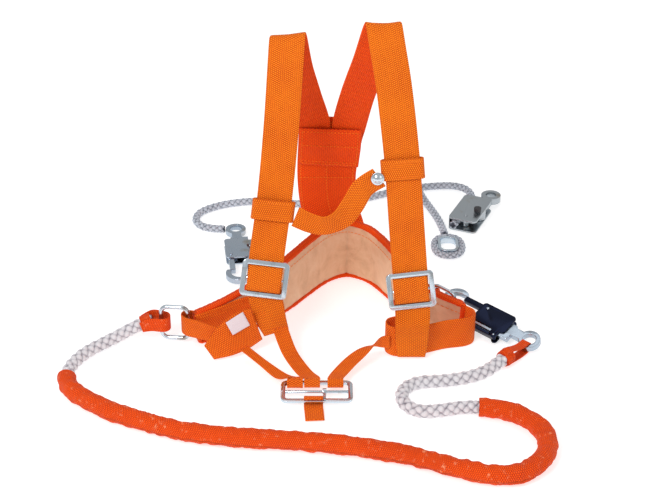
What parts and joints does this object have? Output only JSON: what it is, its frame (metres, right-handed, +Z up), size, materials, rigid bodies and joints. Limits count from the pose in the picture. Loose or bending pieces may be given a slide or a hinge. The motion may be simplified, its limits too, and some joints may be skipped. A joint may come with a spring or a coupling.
{
  "type": "safety harness vest",
  "caption": "Fall-arrest vest harness: padded waist belt, shoulder and chest straps, rope lanyard with snap hook, and a rope grab on a rear rope.",
  "frame": {"origin": "on the floor under the middle of the harness without its ropes", "axes": "+Z up towards the shoulder straps, -Y to the open front, +X to the right seen from the front"},
  "size_m": [0.6329, 0.7588, 0.4222],
  "materials": {
    "orange_webbing": "woven polyester webbing",
    "red_orange_webbing": "woven polyester webbing, redder",
    "sleeve_webbing": "wrinkled woven sleeve",
    "pad_foam": "closed-cell foam",
    "suede": "napped suede",
    "label": "blank woven label",
    "zinc_steel": "zinc plated",
    "black_latch": "black oxide",
    "forged_steel": "zinc plated forging",
    "grab_steel": "zinc plated",
    "black_plastic": "moulded",
    "white_rope": "plaited polyamide rope",
    "grey_rope": "plaited polyamide rope"
  },
  "bodies": {
    "harness": {"blank_label": "label", "branch_rope": "grey_rope", "chest_snap_cap": "zinc_steel", "chest_snap_washer": "zinc_steel", "chest_strap": "orange_webbing", "dorsal_panel": "red_orange_webbing", "dorsal_panel_facing": "red_orange_webbing", "dorsal_ring_keeper": "red_orange_webbing", "front_buckle_bar": "zinc_steel", "front_buckle_frame": "zinc_steel", "front_hook_body": "forged_steel", "front_hook_housing": "black_latch", "front_hook_pins": "forged_steel", "front_strap_tail": "orange_webbing", "grab_housing": "grab_steel", "grab_knob_spring": "grab_steel", "grab_pins": "grab_steel", "lanyard_rope": "white_rope", "lanyard_sleeve": "sleeve_webbing", "left_belt_end": "orange_webbing", "left_belt_flap": "orange_webbing", "left_chest_keeper": "orange_webbing", "left_lanyard_wrap": "sleeve_webbing", "left_lower_waist_strap": "orange_webbing", "left_ring_keeper": "orange_webbing", "left_shoulder_strap": "orange_webbing", "left_upper_waist_strap": "orange_webbing", "rear_hook_body": "forged_steel", "rear_hook_housing": "forged_steel", "rear_hook_pins": "forged_steel", "rear_rope": "grey_rope", "right_belt_loop": "orange_webbing", "right_chest_keeper": "orange_webbing", "right_lanyard_wrap": "sleeve_webbing", "right_ring_tab": "orange_webbing", "right_shoulder_strap": "orange_webbing", "right_waist_strap": "orange_webbing", "rope_thimble": "zinc_steel", "spliced_eye": "grey_rope", "waist_belt_webbing": "red_orange_webbing", "waist_pad_binding": "red_orange_webbing", "waist_pad_foam": "pad_foam", "waist_pad_lining": "suede"},
    "left_adjuster": {"left_adjuster_frame": "zinc_steel", "left_adjuster_bar": "zinc_steel", "left_adjuster_hump": "orange_webbing"},
    "right_adjuster": {"right_adjuster_frame": "zinc_steel", "right_adjuster_bar": "zinc_steel", "right_adjuster_hump": "orange_webbing"},
    "buckle_tongue": {"front_buckle_tongue": "zinc_steel"},
    "dorsal_ring": {"dorsal_ring": "zinc_steel"},
    "left_ring": {"left_side_ring": "zinc_steel"},
    "right_ring": {"right_side_ring": "zinc_steel"},
    "front_gate": {"front_hook_gate": "black_latch"},
    "front_lever": {"front_hook_lock_lever": "black_latch"},
    "rear_gate": {"rear_hook_gate": "forged_steel"},
    "rear_lever": {"rear_hook_lock_lever": "forged_steel"},
    "grab_cam": {"grab_cam_arm": "grab_steel"},
    "grab_roller": {"grab_roller": "grab_steel"},
    "grab_knob": {"grab_lock_knob": "black_plastic"}
  },
  "joints": [
    {"name": "left_adjuster_slide", "type": "slide", "parent": "harness", "child": "left_adjuster", "axis": [0.1287, 0.3492, 0.9282], "range_m": [-0.004, 0.045]},
    {"name": "right_adjuster_slide", "type": "slide", "parent": "harness", "child": "right_adjuster", "axis": [-0.0794, 0.2836, 0.9557], "range_m": [-0.004, 0.08]},
    {"name": "buckle_tongue_hinge", "type": "hinge", "parent": "harness", "child": "buckle_tongue", "pos_m": [0.0109, -0.1375, 0.011], "axis": [-1, 0, 0], "range_deg": [0, 100]},
    {"name": "dorsal_ring_swing", "type": "hinge", "parent": "harness", "child": "dorsal_ring", "pos_m": [0.0189, 0.1825, 0.218], "axis": [1, 0, 0], "range_deg": [0, 75]},
    {"name": "left_ring_swing", "type": "hinge", "parent": "harness", "child": "left_ring", "pos_m": [-0.17119, -0.00629, 0.031], "axis": [0, 0, 1], "range_deg": [-8, 8]},
    {"name": "right_ring_swing", "type": "hinge", "parent": "harness", "child": "right_ring", "pos_m": [0.16461, 0.08984, 0.02295], "axis": [0.1852, 0.2754, -0.9433], "range_deg": [-7, 7]},
    {"name": "front_gate_hinge", "type": "hinge", "parent": "harness", "child": "front_gate", "pos_m": [0.23418, 0.03776, 0.02141], "axis": [-0.1852, -0.2754, 0.9433], "range_deg": [0, 18], "stiffness_Nm_per_rad": 1, "springref_deg": -17.19},
    {"name": "front_lever_hinge", "type": "hinge", "parent": "harness", "child": "front_lever", "pos_m": [0.23807, -0.00777, 0.00888], "axis": [0.1852, 0.2754, -0.9433], "range_deg": [0, 3], "stiffness_Nm_per_rad": 1, "springref_deg": -11.46},
    {"name": "rear_gate_hinge", "type": "hinge", "parent": "harness", "child": "rear_gate", "pos_m": [-0.12412, 0.20556, 0.0085], "axis": [0, 0, 1], "range_deg": [0, 18], "stiffness_Nm_per_rad": 1, "springref_deg": -17.19},
    {"name": "rear_lever_hinge", "type": "hinge", "parent": "harness", "child": "rear_lever", "pos_m": [-0.09545, 0.24329, 0.0085], "axis": [0, 0, -1], "range_deg": [0, 3], "stiffness_Nm_per_rad": 1, "springref_deg": -11.46},
    {"name": "grab_cam_hinge", "type": "hinge", "parent": "harness", "child": "grab_cam", "pos_m": [0.24255, 0.33463, 0.0105], "axis": [0, 0, -1], "range_deg": [0, 30]},
    {"name": "grab_roller_spin", "type": "hinge", "parent": "harness", "child": "grab_roller", "pos_m": [0.22325, 0.31031, 0.0105], "axis": [0, 0, -1], "continuous": true},
    {"name": "grab_knob_pull", "type": "slide", "parent": "harness", "child": "grab_knob", "axis": [0, 0, 1], "range_m": [0, 0.004], "stiffness_N_per_m": 800, "springref_m": -0.002}
  ]
}
